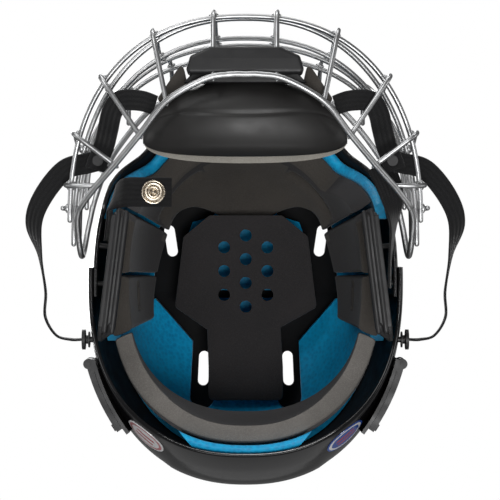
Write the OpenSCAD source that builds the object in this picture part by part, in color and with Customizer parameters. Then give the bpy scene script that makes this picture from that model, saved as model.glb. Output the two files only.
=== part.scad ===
// Ice hockey helmet with a hinged wire face cage.
// +Z is up, the face looks along -Y and the wearer's left is +X.
// The origin is under the middle of the whole object, on the ground.

/* [Shell] */
// Half width of the front shell
half_w = 107.5; // [104:0.5:109]
// Distance from the shell's centre to the brow
front_b = 134; // [132:0.5:135]
// Distance from the shell's centre to the back of the front dome
rear_b = 140; // [138:0.5:142]
// Height of the crown above the ground
crown_z = 252; // [250:0.5:254]
// Height of the front edge over the brow
brow_z = 168; // [166:0.5:170]
// Height of the edge over the ears
ear_z = 82; // [81:0.5:84]
// Height of the edge behind the neck
nape_z = 62; // [60:0.5:66]
// Wall of the plastic shells
shell_t = 3; // [2.5:0.1:3]

/* [Padding] */
// Thickness of the rear shell's foam liner
liner_t = 10.5; // [10:0.5:11]
// Thickness of the front shell's foam liner
front_liner_t = 6.5; // [6:0.5:8]
// Thickness of the comfort pads
pad_t = 14.5; // [12:0.5:15]
// Thickness of the pad at the back of the head
nape_pad_t = 9.5; // [8:0.5:10]
// Diameter of the vent holes in the crown pad
crown_hole_d = 9; // [6:0.5:9]

/* [Cage] */
// Diameter of the cross wires and the uprights
wire_d = 3.4; // [3:0.1:3.5]
// Diameter of the frame wire round the cage
rim_d = 4.2; // [4:0.1:4.3]
// Diameter of the straight hinge bar
bar_d = 4; // [3.8:0.1:4]
// Radial clearance of the hinge bar in its clips
bar_gap = 0.08; // [0.05:0.01:0.1]

/* [Straps] */
// Width of the side strap webbing
strap_w = 14; // [12:0.5:15]
// Thickness of the side strap webbing
strap_t = 1.8; // [1.4:0.1:2]
// Width of the chin strap webbing
chin_strap_w = 20; // [18:0.5:21]

/* [Hidden] */

// Colours
SHELL_BLACK = "#1b1c1f";
TRIM_BLACK = "#101113";
FOAM_BLUE = "#0c86c8";
PAD_GREY = "#343336";
WIRE_SILVER = "#b9bdc2";
WEB_BLACK = "#141416";
SNAP_STEEL = "#cfc6b4";

// Shifts that put the origin under the middle of the object
shift_y = -2.07;
shift_z = 2.4;

// Shape of the dome
dome_y = 22;
mid_z = 120;
plan_n = 2.25;
dome_n = 2.3;
dome_cols = 56;
dome_rows = 11;
split_y = 32;
rear_gap = 0.5;
layer_gap = 0.9;

// Hinge of the cage
bar_y = -113;
bar_z = 180;
bar_half = 48;
clip_x = 38;
clip_w = 14;

// ---------- maths ----------
function sgn(v) = v < 0 ? -1 : 1;
function unit(v) = v / norm(v);
function lerp(a, b, s) = a + (b - a) * s;
function ease(a, b, v) = let (s = min(1, max(0, (v - a) / (b - a)))) s * s * (3 - 2 * s);

// A smooth curve through the points, with k steps between two of them
function spline(a, b, c, d, s) = 0.5 * (2 * b + (c - a) * s + (2 * a - 5 * b + 4 * c - d) * s * s
    + (3 * b - a - 3 * c + d) * s * s * s);
function smooth_path(p, k) = let (n = len(p) - 1) [
    for (i = [0 : n - 1], j = [0 : k - 1])
        spline(p[max(0, i - 1)], p[i], p[i + 1], p[min(n, i + 2)], j / k),
    p[n]
];
function tangent(p, i) = unit(p[min(len(p) - 1, i + 1)] - p[max(0, i - 1)]);

// ---------- the dome that the shells, liners and pads follow ----------
function front_angle(t) = abs((t + 270) % 360 - 180);
function edge_z(t) = brow_z - (brow_z - ear_z) * ease(38, 66, front_angle(t))
    - (ear_z - nape_z) * ease(104, 152, front_angle(t));
function taper(t) = 0.05 + 0.115 * pow(max(0, sin(t)), 3);
function dome_scale(t, z, off) = z >= mid_z
    ? pow(max(0, 1 - pow((z - mid_z) / (crown_z - off - mid_z), dome_n)), 1 / dome_n)
    : 1 - taper(t) * pow((mid_z - z) / 55, 1.6);
function plan_radius(t, off) = pow(pow(abs(cos(t)) / (half_w - off), plan_n)
    + pow(abs(sin(t)) / ((sin(t) < 0 ? front_b : rear_b) - off), plan_n), -1 / plan_n);
function dome(t, z, off) = let (r = plan_radius(t, off) * dome_scale(t, z, off))
    [r * cos(t), dome_y + r * sin(t), z];
function dome_row(j, off, lift) = [for (i = [0 : dome_cols - 1])
    let (t = 360 * i / dome_cols, low = edge_z(t) + lift, top = crown_z - off)
    dome(t, lerp(low, top, 1 - pow(1 - j / dome_rows, 2.2)), off)];

// A whole dome with a wall between two offsets, counted inwards
module dome_shell(off_out, off_in, lift) {
    n = dome_cols;
    m = dome_rows;
    inner = n * m + 1;
    outer_points = [for (j = [0 : m - 1]) each dome_row(j, off_out, lift)];
    inner_points = [for (j = [0 : m - 1]) each dome_row(j, off_in, lift)];
    walls = [for (j = [0 : m - 2], i = [0 : n - 1])
        let (a = j * n + i, b = j * n + (i + 1) % n, c = b + n, d = a + n)
        each (i < n / 4 || i >= n * 3 / 4
            ? [[a, d, c], [a, c, b], [inner + a, inner + b, inner + c], [inner + a, inner + c, inner + d]]
            : [[a, d, b], [b, d, c], [inner + a, inner + b, inner + d], [inner + b, inner + c, inner + d]])];
    caps = [for (i = [0 : n - 1]) let (a = (m - 1) * n + i, b = (m - 1) * n + (i + 1) % n)
        each [[a, m * n, b], [inner + a, inner + b, inner + m * n]]];
    rim = [for (a = [0 : n - 1]) let (b = (a + 1) % n)
        each [[a, b, inner + b], [a, inner + b, inner + a]]];
    polyhedron(
        points = concat(outer_points, [[0, dome_y, crown_z - off_out]],
            inner_points, [[0, dome_y, crown_z - off_in]]),
        faces = concat(walls, caps, rim));
}

// A closed solid between an outer and an inner grid of points
module slab(outer, inner) {
    rows = len(outer) - 1;
    cols = len(outer[0]) - 1;
    w = cols + 1;
    k = (rows + 1) * w;
    skins = [for (j = [0 : rows - 1], i = [0 : cols - 1])
        let (a = j * w + i, b = a + 1, c = b + w, d = a + w)
        each [[a, d, c], [a, c, b], [k + a, k + b, k + c], [k + a, k + c, k + d]]];
    ends = [for (i = [0 : cols - 1]) let (a = i, b = i + 1, c = rows * w + i, d = c + 1)
        each [[a, b, k + b], [a, k + b, k + a], [d, c, k + c], [d, k + c, k + d]]];
    sides = [for (j = [0 : rows - 1]) let (a = j * w, b = a + w, c = a + cols, d = c + w)
        each [[b, a, k + a], [b, k + a, k + b], [c, d, k + d], [c, k + d, k + c]]];
    polyhedron(points = concat([for (r = outer) each r], [for (r = inner) each r]),
        faces = concat(skins, ends, sides));
}

// The upper edge of the pads, which falls from the brow to the sides
function pad_top(t) = 220 - 22 * ease(15, 52, front_angle(t)) - 14 * ease(55, 125, front_angle(t));

// A pad that follows the dome between two directions and two heights, and stays over the shell's edge.
// At the middle of the back its upper edge leans inwards by lean_out on the outside and lean_in inside.
module dome_pad(t0, t1, z0, z1, off, thick, cols, rows, lean_out = 0, lean_in = 0) {
    function grid(o, inset, lean) = [for (j = [0 : rows]) [for (i = [0 : cols])
        let (t = lerp(t0 + inset, t1 - inset, i / cols), low = max(z0, edge_z(t) + 10), high = min(z1, pad_top(t)))
        dome(t, lerp(low + inset, high - inset, j / rows), o + lean * pow(max(0, sin(t)), 4) * j / rows)]];
    slab(grid(off, 0, lean_out), grid(off + thick, 1.5, lean_in));
}

// A closed tube through rings of points
module skin_rings(rings) {
    n = len(rings[0]);
    m = len(rings);
    tube = [for (i = [0 : m - 2], j = [0 : n - 1])
        let (a = i * n + j, b = i * n + (j + 1) % n, c = b + n, d = a + n)
        each [[a, c, b], [a, d, c]]];
    polyhedron(points = [for (r = rings) each r],
        faces = concat([[for (j = [0 : n - 1]) j]], tube, [[for (j = [n - 1 : -1 : 0]) (m - 1) * n + j]]));
}

// Round wire along a path. The rings are squared to the middle of the face.
face_middle = [0, -10, 95];
module wire(path, d, sides) {
    skin_rings([for (i = [0 : len(path) - 1])
        let (t = tangent(path, i), w = unit(cross(t, path[i] - face_middle)), u = cross(t, w))
        [for (j = [0 : sides - 1]) let (a = 360 * j / sides)
            path[i] + d / 2 * (w * cos(a) + u * sin(a))]]);
}

// Flat webbing along a route of points [x, y, z, roll], where a roll of 0 lies flat
module webbing(route, w, t, k) {
    path = smooth_path([for (p = route) [p[0], p[1], p[2]]], k);
    roll = smooth_path([for (p = route) [p[3], 0, 0]], k);
    skin_rings([for (i = [0 : len(path) - 1])
        let (along = tangent(path, i), s = unit(cross(along, [0, 0, 1])), u = cross(s, along),
            wide = s * cos(roll[i].x) + u * sin(roll[i].x), thick = cross(along, wide))
        [for (c = [[-1, -1], [1, -1], [1, 1], [-1, 1]])
            path[i] + wide * c.x * w / 2 + thick * c.y * t / 2]]);
}

module placed() {
    translate([0, shift_y, shift_z]) children();
}

module both_sides() {
    children();
    mirror([1, 0, 0]) children();
}

module on_side(side) {
    mirror([side < 0 ? 1 : 0, 0, 0]) children();
}

// ---------- shells and liners ----------
// Vents, one of each pair: middle x, middle y, length, width, turn
FRONT_VENTS = [[57.5, -7, 24, 8, 8], [22, -62, 30, 7, -6], [80, -22, 26, 6, 8], [28, 2, 22, 6, 4]];
REAR_VENTS = [[32.5, 91, 26, 8, -2], [66, 66, 26, 6, -14], [22, 128, 18, 6, -4], [80, 62, 20, 5, -8]];

module vent_cuts(vents) {
    both_sides() for (v = vents) translate([v[0], v[1], 100]) rotate([0, 0, v[4]])
        hull() for (s = [-1, 1]) translate([0, s * (v[2] - v[3]) / 2, 0])
            cylinder(d = v[3], h = 200, $fn = 16);
}

// Air channels that part the liner over the crown: middle x, middle y, radius
CHANNEL = [[30, -33, 7], [48, -29, 8], [57, -10, 10], [58, 31, 12], [32, 67, 8.5], [33, 111.3, 9.2]];

module air_channels() {
    both_sides() for (i = [1 : len(CHANNEL) - 1]) hull() for (c = [CHANNEL[i - 1], CHANNEL[i]])
        translate([c[0], c[1], 150]) cylinder(r = c[2], h = 110, $fn = 24);
}

module front_block() {
    translate([-150, -150, 0]) cube([300, 150 + split_y, 300]);
}

module rear_block(y) {
    translate([-150, y, 0]) cube([300, 200, 300]);
}

module front_shell() {
    color(SHELL_BLACK) placed() difference() {
        intersection() {
            dome_shell(0, shell_t, 0);
            front_block();
        }
        vent_cuts(FRONT_VENTS);
        both_sides() {
            clip_plate(0.15);
            clip_screw_axis() translate([0, 0, -12]) cylinder(r = 2.2, h = 24, $fn = 24);
            insert_place() translate([0, 0, -4]) cylinder(r = 4.15, h = 12, $fn = 32);
            guard_screw_places() translate([0, 0, -1]) cylinder(r = 2.2, h = 26, $fn = 24);
        }
    }
}

module rear_shell() {
    color(SHELL_BLACK) placed() difference() {
        intersection() {
            dome_shell(-rear_gap - shell_t, -rear_gap, 0);
            rear_block(12);
        }
        vent_cuts(REAR_VENTS);
        both_sides() {
            stud_place() translate([0, 0, -8]) cylinder(r = 2.15, h = 12, $fn = 24);
            flank_arc(flank_r + 0.6, 3, lever_z - 4.3, lever_h + 8.6, pivot_a - 2, 37.5);
        }
    }
}

module front_liner() {
    off = shell_t + layer_gap;
    color(FOAM_BLUE) placed() difference() {
        intersection() {
            dome_shell(off, off + front_liner_t, 9);
            translate([0, -1, 0]) front_block();
        }
        air_channels();
        both_sides() {
            clip_screw_axis() translate([0, 0, -12]) cylinder(r = 3, h = 24, $fn = 24);
            insert_place() translate([0, 0, -6]) cylinder(r = 5, h = 12, $fn = 32);
            translate([88, -60, 60]) cube([20, 100, 42]);
        }
    }
}

module rear_liner() {
    color(FOAM_BLUE) placed() difference() {
        intersection() {
            dome_shell(0.6, liner_t, 4);
            rear_block(split_y + 5.3);
        }
        air_channels();
        both_sides() {
            stud_place() translate([0, 0, -8]) cylinder(r = 3, h = 12, $fn = 24);
            translate([88, 20, 50]) cube([20, 48, 51.3]);
            translate([50, 66, 50]) cube([60, 100, 98]);
        }
    }
}

// ---------- pads ----------
pad_off = shell_t + front_liner_t + 2 * layer_gap;

module crown_pad() {
    hole_pitch = 17.9;
    color(PAD_GREY) placed() translate([0, 0, 200]) linear_extrude(height = 9) difference() {
        offset(r = 4) polygon([[-26, -22], [26, -22], [43, -8], [49, 41], [22, 56], [24, 88], [24, 109],
            [-24, 109], [-24, 88], [-22, 56], [-49, 41], [-43, -8]]);
        for (i = [0 : 3]) translate([0, -11 + i * hole_pitch]) circle(d = crown_hole_d, $fn = 32);
        for (s = [-1, 1], i = [0 : 2]) translate([s * 16.3, -2 + i * hole_pitch])
            circle(d = crown_hole_d, $fn = 32);
    }
}

module forehead_pad() {
    color(PAD_GREY) placed() dome_pad(212, 328, 96, 220, pad_off, pad_t, 28, 6);
}

module temple_pad(side) {
    color(PAD_GREY) placed() on_side(side) dome_pad(329.5, 356, 96, 220, pad_off, pad_t, 8, 7);
}

module side_pad(side) {
    color(PAD_GREY) placed() on_side(side) dome_pad(357.5, 383, 96, 220, pad_off, pad_t, 8, 7);
}

module occipital_pad() {
    color(PAD_GREY) placed() dome_pad(24, 156, 72, 112, liner_t + 4.5, nape_pad_t, 30, 4, 10, 24);
}

// ---------- ear guards ----------
guard_x = 95.5;
guard_t = 3;
guard_toe_in = 7;

module guard_outline() {
    hull() {
        translate([-16, 64]) circle(r = 10, $fn = 32);
        translate([-16, 82]) circle(r = 10, $fn = 32);
        translate([50, 60]) circle(r = 12, $fn = 32);
        translate([52, 86]) circle(r = 10, $fn = 32);
    }
}

// The guards turn in towards the cheeks
module guard_place() {
    translate([guard_x, 52, 0]) rotate([0, 0, -guard_toe_in]) translate([-guard_x, -52, 0]) children();
}

// Screws of a guard: place along it and length
GUARD_SCREWS = [[-2, 15], [24, 12]];

module guard_screw_places() {
    guard_place() for (screw = GUARD_SCREWS)
        translate([guard_x - 3, screw[0], 90]) rotate([0, 90, 0]) children();
}

module ear_guard(side) {
    color(TRIM_BLACK) placed() on_side(side) difference() {
        guard_place() {
            translate([guard_x, 0, 0]) rotate([90, 0, 90]) linear_extrude(height = guard_t)
                difference() {
                    guard_outline();
                    hull() for (y = [18, 32]) translate([y, 68]) circle(r = 9, $fn = 32);
                }
            translate([guard_x - 8.5, -24, 46]) cube([11.5, 76, 4]);
            for (x = [-6.5, -1.5]) translate([guard_x + x, -26, 46]) rotate([-90, 0, 0])
                cylinder(r = 1.8, h = 80, $fn = 24);
        }
        guard_screw_places() cylinder(r = 2.1, h = 20, $fn = 24);
    }
}

module ear_guard_screws() {
    color(SNAP_STEEL) placed() both_sides() guard_place() for (screw = GUARD_SCREWS)
        translate([guard_x - 0.1, screw[0], 90]) rotate([0, 90, 0]) {
            mirror([0, 0, 1]) cylinder(r1 = 3.6, r2 = 2.8, h = 1.6, $fn = 32);
            cylinder(r = 2, h = screw[1], $fn = 32);
        }
}

// ---------- hinge clips of the cage ----------
clip_low = [-99.5, 177];
clip_high = [-81.5, 208];
clip_lean = atan2(clip_high.x - clip_low.x, clip_high.y - clip_low.y);

module clip_plate(grow) {
    hull() for (p = [clip_low, clip_high]) translate([clip_x, p.x, p.y]) rotate([0, 90, 0])
        cylinder(r = 2 + grow, h = clip_w + 2 * grow, center = true, $fn = 24);
}

// Places a screw along the outward normal of the clip's plate
module clip_screw_axis() {
    translate([clip_x, lerp(clip_low.x, clip_high.x, 0.6), lerp(clip_low.y, clip_high.y, 0.6)])
        rotate([90 - clip_lean, 0, 0]) children();
}

module hinge_clip(side) {
    color(TRIM_BLACK) placed() on_side(side) difference() {
        union() {
            clip_plate(0);
            translate([clip_x, bar_y, bar_z]) rotate([0, 90, 0])
                cylinder(r = 5, h = clip_w, center = true, $fn = 48);
            translate([clip_x - clip_w / 2, bar_y, bar_z - 4]) cube([clip_w, 15, 4.5]);
        }
        translate([clip_x, bar_y, bar_z]) rotate([0, 90, 0])
            cylinder(r = bar_d / 2 + bar_gap, h = clip_w + 2, center = true, $fn = 48);
        clip_screw_axis() translate([0, 0, -10]) cylinder(r = 2.1, h = 20, $fn = 24);
    }
}

module hinge_clip_screws() {
    color(SNAP_STEEL) placed() both_sides() clip_screw_axis() {
        translate([0, 0, 2.05]) cylinder(r1 = 4.2, r2 = 3.2, h = 2, $fn = 32);
        translate([0, 0, -7]) cylinder(r = 2, h = 9.05, $fn = 32);
    }
}

// Threaded inserts at the temples, where a visor could be fitted instead
module insert_place() {
    translate([96, -25, 172]) rotate([0, 0, -14]) rotate([0, 77, 0]) children();
}

// The thread stands wholly outside the shell
module visor_inserts() {
    color(SNAP_STEEL) placed() both_sides() insert_place() difference() {
        translate([0, 0, -3]) cylinder(r = 4, h = 9.5, $fn = 32);
        translate([0, 0, 1.2]) cylinder(r = 2.1, h = 10, $fn = 32);
    }
}

// ---------- chin straps and their snap ----------
module chin_strap_right() {
    color(WEB_BLACK) placed() webbing([[-94.2, -6, 71, 97], [-92.6, -20, 71, 97], [-92, -30, 70, 90],
        [-87, -36.5, 64, 45], [-80, -39, 58, 8], [-66, -39, 56, 0], [-50, -39, 61, 0]], chin_strap_w, 2, 5);
}

module chin_strap_left() {
    color(WEB_BLACK) placed() webbing([[91, -58, 68, 0], [97, -46, 68, 6], [100.6, -32, 69, 35],
        [100.8, -16, 70, 72], [98.8, 6, 71.5, 82], [98.3, 26, 71.5, 83]], chin_strap_w - 2, 2, 5);
}

module chin_snap() {
    color(SNAP_STEEL) placed() translate([-62, -39, 55.2]) rotate([180, -8, 0]) {
        difference() {
            cylinder(d = 16.5, h = 1.4, $fn = 64);
            translate([0, 0, 0.8]) difference() {
                cylinder(d = 13.5, h = 2, $fn = 64);
                cylinder(d = 8, h = 4, center = true, $fn = 48);
            }
        }
        difference() {
            cylinder(d = 8, h = 3, $fn = 48);
            translate([0, 0, 1.2]) cylinder(d = 4, h = 3, $fn = 32);
        }
    }
}

// ---------- decals, studs and the length adjusters on the rear shell ----------
module shell_decals() {
    color("white") placed() both_sides() dome_pad(50, 64, 70, 92, -rear_gap - shell_t - 0.7, 0.6, 4, 3);
}

stud_y = 62;
stud_z = 92;
module stud_place() {
    translate([106.8, stud_y, stud_z]) rotate([0, 90, 0]) children();
}

module strap_studs() {
    color(SNAP_STEEL) placed() both_sides() stud_place() {
        translate([0, 0, -4]) cylinder(r = 2, h = 6.4, $fn = 32);
        translate([0, 0, 0.9]) cylinder(r = 5.5, h = 1, $fn = 48);
        translate([0, 0, 1.9]) cylinder(r = 3, h = 1.5, $fn = 48);
    }
}

// The rear shell's flank is close to an arc, which the adjusters follow
flank_x = -30.2;
flank_y = 42.8;
flank_r = 137;
lever_z = 88;
lever_h = 16;
lever_t = 4;
lever_r = flank_r + 3.9;
pivot_a = 14.5;
pivot_r = lever_r + lever_t / 2;
pin_r = 1.5;

module flank_arc(r, t, z, h, a0, a1) {
    steps = ceil((a1 - a0) / 2);
    angles = [for (i = [0 : steps]) lerp(a0, a1, i / steps)];
    translate([flank_x, flank_y, z]) linear_extrude(height = h) polygon(concat(
        [for (a = angles) r * [cos(a), sin(a)]],
        [for (i = [steps : -1 : 0]) (r + t) * [cos(angles[i]), sin(angles[i])]]));
}

module pivot_place(z) {
    translate([flank_x + pivot_r * cos(pivot_a), flank_y + pivot_r * sin(pivot_a), z]) children();
}

module adjuster_base(side) {
    color(TRIM_BLACK) placed() on_side(side) difference() {
        union() {
            flank_arc(flank_r + 0.8, 2.5, lever_z - 4, lever_h + 8, pivot_a + 2, 37);
            for (z = [lever_z - 4, lever_z + lever_h + 0.2]) {
                flank_arc(flank_r + 0.8, 5, z, 3.8, pivot_a - 1, pivot_a + 2.4);
                pivot_place(z) cylinder(r = 3.6, h = 3.8, $fn = 32);
            }
        }
        pivot_place(lever_z - 6) cylinder(r = pin_r + 0.02, h = lever_h + 12, $fn = 32);
    }
}

module adjuster_lever(side) {
    color(SHELL_BLACK) placed() on_side(side) difference() {
        union() {
            flank_arc(lever_r, lever_t, lever_z, lever_h, pivot_a, 35);
            pivot_place(lever_z) cylinder(r = 3.3, h = lever_h, $fn = 32);
            flank_arc(lever_r + lever_t - 0.5, 1.7, lever_z + 2, lever_h - 4, 32.5, 34.5);
        }
        pivot_place(lever_z - 1) cylinder(r = pin_r + 0.08, h = lever_h + 2, $fn = 32);
    }
}

module adjuster_pins() {
    color(SNAP_STEEL) placed() both_sides() pivot_place(lever_z - 4.5)
        cylinder(r = pin_r, h = lever_h + 9, $fn = 32);
}

// ---------- cage ----------
cage_n = 2.3;
// Cross wires from the chin up: height, front, half width, rear end, rise at the sides
CROSS = [[36, -155, 118, -20, 18], [64, -157, 116.5, -4, 2], [98, -147.5, 115.5, -10, 0],
    [126, -145.5, 113, -30, 0], [152, -139.5, 105, -58, 0]];
// Frame wire from the chin round the jaw and up the temple to the hinge bar
FRAME = [[0.2, -113, 0], [9, -113, 0], [26, -110, 0], [51, -96, 4], [69, -75, 14], [86, -56, 27], [102, -39, 40],
    [112, -25, 51], [113, -10, 62], [112, 3, 72], [111.5, 1, 86], [110, -18, 110], [106.5, -40, 134],
    [97, -68, 157], [76, -98, 174], [60, -110.5, 179.2], [54, -112.8, 180], [bar_half + 0.2, bar_y, bar_z]];
// Uprights from the middle out: share of the cross wires' width, upper end, place on the frame
UPRIGHTS = [[0.175, [20, -117, 182], [20.5, -111.5, 4.2]], [0.506, [54, -117.4, 180], [51, -96, 8.4]],
    [0.786, [86, -93, 170], [69, -75, 18.2]], [0.938, [104, -68, 157], [86, -56, 31.2]]];

function cross_point(w, a) = [
    w[2] * sgn(sin(a)) * pow(abs(sin(a)), 2 / cage_n),
    w[3] - (w[3] - w[1]) * pow(abs(cos(a)), 2 / cage_n),
    w[0] + w[4] * pow(abs(sin(a)), 4)
];
// The place of an upright in front of a cross wire
weld_gap = 0.15;
top_weld_gap = 1.1;
function front_of(w, share) = let (a = asin(pow(share, cage_n / 2)),
    t = unit(cross_point(w, a + 0.5) - cross_point(w, a - 0.5)))
    cross_point(w, a) + (wire_d + (w == CROSS[4] ? top_weld_gap : weld_gap)) * unit([t.y, -t.x, 0]);

module hinge_bar() {
    color(WIRE_SILVER) placed() translate([0, bar_y, bar_z]) rotate([0, 90, 0])
        cylinder(d = bar_d, h = 2 * bar_half, center = true, $fn = 48);
}

module cage_frame(side) {
    color(WIRE_SILVER) placed() on_side(side) wire(smooth_path(FRAME, 3), rim_d, 8);
}

module cross_wire(i) {
    color(WIRE_SILVER) placed() wire([for (a = [-90 : 6 : 90]) cross_point(CROSS[i], a)], wire_d, 8);
}

function upright_points(u) = let (p = front_of(CROSS[0], u[0]), bend = [p.x * 0.985, p.y * 0.975, p.z - 18])
    concat([u[1]], [for (i = [4 : -1 : 0]) front_of(CROSS[i], u[0])],
        [bend, lerp(bend, u[2], 0.5) - [0, 0, 1], u[2]]);

module upright_pair(i) {
    color(WIRE_SILVER) placed() both_sides() wire(smooth_path(upright_points(UPRIGHTS[i]), 3), wire_d, 6);
}

// Short uprights on the jaw: one from the frame and one from the lowest cross wire, up to a cross wire
function jaw_points(y, start, top) = [each start,
    for (i = [0 : top]) let (w = CROSS[i], s = (w[3] - y) / (w[3] - w[1]), a = acos(pow(s, cage_n / 2)))
        cross_point(w, a) + [wire_d + weld_gap, 0, 0]];

module jaw_pair(y, start, top) {
    color(WIRE_SILVER) placed() both_sides() wire(smooth_path(jaw_points(y, start, top), 3), wire_d, 6);
}

// ---------- chin cup ----------
cup_half = 66;
cup_t = 6;
cup_axis = [-80, 36];
CUP_PROFILE = [[-60, 22], [-68, 12.5], [-82, 7.5], [-98, 8.5], [-110, 17], [-114, 32], [-112, 46]];
// The lining's edge laps over the rear rim of the cup
lining_edge = [-56.8, 25.8];
lining_t = 2.1;
lining_gap = 0.3;

function cup_point(s, p, depth) = let (c = max(0.16, sqrt(1 - s * s)), d = p - cup_axis,
    q = cup_axis + [7 * s * s, 0] + d * c * (1 - depth / norm(d)))
    [cup_half * s * (1 - depth / 150), q.x, q.y];
function cup_row(p, depth) = [for (i = [-14 : 14]) cup_point(sin(i * 90 / 14), p, depth)];
cup_rows = [for (p = smooth_path([for (c = CUP_PROFILE) [c.x, c.y, 0]], 2)) [p.x, p.y]];

module chin_cup() {
    color(TRIM_BLACK) placed()
        slab([for (p = cup_rows) cup_row(p, 0)], [for (p = cup_rows) cup_row(p, cup_t)]);
}

module chin_cup_lining() {
    outside = cup_t + lining_gap;
    color("#b7b2a6") placed() slab(
        concat([cup_row(lining_edge, 1)], [for (p = cup_rows) cup_row(p, outside)]),
        concat([cup_row(lining_edge, 1 + lining_t)], [for (p = cup_rows) cup_row(p, outside + lining_t)]));
}

// The middle pair of uprights runs through the band
module chin_cup_band() {
    color(WEB_BLACK) placed() difference() {
        translate([0, 0, 3]) linear_extrude(height = 22) offset(r = 3) polygon([[-34, -119], [34, -119],
            [32, -127], [22, -132], [-22, -132], [-32, -127]]);
        both_sides() wire(smooth_path(upright_points(UPRIGHTS[0]), 3), wire_d + 0.4, 6);
    }
}

module chin_cup_wings() {
    color(PAD_GREY) placed() both_sides() hull() {
        for (p = [[40, -109], [42, -118], [55, -99]])
            translate([p.x, p.y, 18]) cylinder(r = 2, h = 18, $fn = 24);
    }
}

// ---------- straps of the cage ----------
rivet_place = [99, -60, 53.5];

module cup_strap(side) {
    color(WEB_BLACK) placed() on_side(side) difference() {
        webbing([[59, -95, 24, 20], [69, -98, 23, 10], [82, -98, 26, 0], [88, -91, 32, 0], [91.5, -80, 42, 0],
            [94.3, -71.5, 51, 0], [96.5, -66, 53.4, 0], [99, -60, 53.5, 0], [101, -54, 53.5, 0]],
            strap_w, strap_t, 4);
        translate(rivet_place - [0, 0, 4]) cylinder(r = 1.6, h = 8, $fn = 32);
    }
}

// Rivets that hold the side straps on the ends of the cup straps, which the side straps turn about
module strap_rivets() {
    color(SNAP_STEEL) placed() both_sides() translate(rivet_place) {
        translate([0, 0, -2.4]) cylinder(r = 3.6, h = 1.2, $fn = 32);
        translate([0, 0, -1.5]) cylinder(r = 1.5, h = 6.6, $fn = 32);
        translate([0, 0, 1.2]) cylinder(r = 3, h = 1, $fn = 32);
        translate([0, 0, 4.8]) cylinder(r = 3.6, h = 1.2, $fn = 32);
    }
}

SIDE_ROUTE = [[94, -61.5, 57, 0], [106, -58.5, 57, 0], [122, -54, 59, 0], [137, -36, 61, 10], [143.5, -18, 64, 30],
    [140, 4, 70, 75], [137, 28, 78, 85], [138, 46, 86, 85], [131, 59, 91, 85], [121, 62, 92, 90],
    [113.2, 62, 92, 90]];
module side_strap(side) {
    color(WEB_BLACK) placed() on_side(side) difference() {
        webbing(SIDE_ROUTE, strap_w, strap_t, 3);
        translate(rivet_place) cylinder(r = 1.6, h = 8, $fn = 32);
    }
}

module snap_socket(side) {
    color(SNAP_STEEL) placed() on_side(side) translate([110.8, stud_y, stud_z]) rotate([0, 90, 0])
        difference() {
            cylinder(d = 14, h = 2.2, $fn = 48);
            translate([0, 0, -1]) cylinder(d = 7, h = 2.4, $fn = 32);
        }
}

front_shell();
front_liner();
crown_pad();
forehead_pad();
temple_pad(1);  // temple_pad_left
temple_pad(-1);  // temple_pad_right
side_pad(1);  // side_pad_left
side_pad(-1);  // side_pad_right
ear_guard(1);  // ear_guard_left
ear_guard(-1);  // ear_guard_right
ear_guard_screws();
hinge_clip(1);  // hinge_clip_left
hinge_clip(-1);  // hinge_clip_right
hinge_clip_screws();
visor_inserts();
chin_strap_left();
chin_strap_right();
chin_snap();
rear_shell();
rear_liner();
occipital_pad();
shell_decals();
strap_studs();
adjuster_base(1);  // adjuster_base_left
adjuster_base(-1);  // adjuster_base_right
adjuster_pins();
adjuster_lever(1);  // adjuster_lever_left
adjuster_lever(-1);  // adjuster_lever_right
hinge_bar();
cage_frame(1);  // cage_frame_left
cage_frame(-1);  // cage_frame_right
cross_wire(0);  // cross_wire_1
cross_wire(1);  // cross_wire_2
cross_wire(2);  // cross_wire_3
cross_wire(3);  // cross_wire_4
cross_wire(4);  // cross_wire_5
upright_pair(0);  // upright_pair_1
upright_pair(1);  // upright_pair_2
upright_pair(2);  // upright_pair_3
upright_pair(3);  // upright_pair_4
jaw_pair(-43.6, [[98, -43, 41.8], [116, -42.8, 43]], 3);  // upright_pair_5
jaw_pair(-28, [[121.8, -28, 45]], 2);  // upright_pair_6
chin_cup();
chin_cup_lining();
chin_cup_band();
chin_cup_wings();
cup_strap(1);  // cup_strap_left
cup_strap(-1);  // cup_strap_right
side_strap(1);  // side_strap_left
side_strap(-1);  // side_strap_right
snap_socket(1);  // snap_socket_left
snap_socket(-1);  // snap_socket_right
strap_rivets();
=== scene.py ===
"""Ice hockey helmet with a wire face cage: its looks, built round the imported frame.

The shape functions work in millimetres of the helmet's own design, and add_piece() turns
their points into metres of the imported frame.
"""

import math

import bmesh
import bpy
import numpy as np
from mathutils import Matrix, Vector


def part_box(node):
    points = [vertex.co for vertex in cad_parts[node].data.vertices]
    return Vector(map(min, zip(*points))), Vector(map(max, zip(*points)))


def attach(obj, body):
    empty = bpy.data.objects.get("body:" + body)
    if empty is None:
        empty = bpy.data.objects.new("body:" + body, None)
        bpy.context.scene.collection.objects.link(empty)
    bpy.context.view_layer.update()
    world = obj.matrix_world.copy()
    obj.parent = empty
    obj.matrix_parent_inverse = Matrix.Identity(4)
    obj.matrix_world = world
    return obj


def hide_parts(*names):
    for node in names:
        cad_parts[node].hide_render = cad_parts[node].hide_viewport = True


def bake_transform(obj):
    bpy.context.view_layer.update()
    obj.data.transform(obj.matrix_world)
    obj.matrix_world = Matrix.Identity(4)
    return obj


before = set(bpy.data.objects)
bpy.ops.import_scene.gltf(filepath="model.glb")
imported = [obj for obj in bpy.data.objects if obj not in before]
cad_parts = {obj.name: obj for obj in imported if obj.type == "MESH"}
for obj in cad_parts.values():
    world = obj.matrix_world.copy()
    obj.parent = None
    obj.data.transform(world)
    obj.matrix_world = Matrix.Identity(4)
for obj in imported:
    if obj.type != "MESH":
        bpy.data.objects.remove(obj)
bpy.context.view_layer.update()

scene = bpy.context.scene
MM = 0.001

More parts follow.
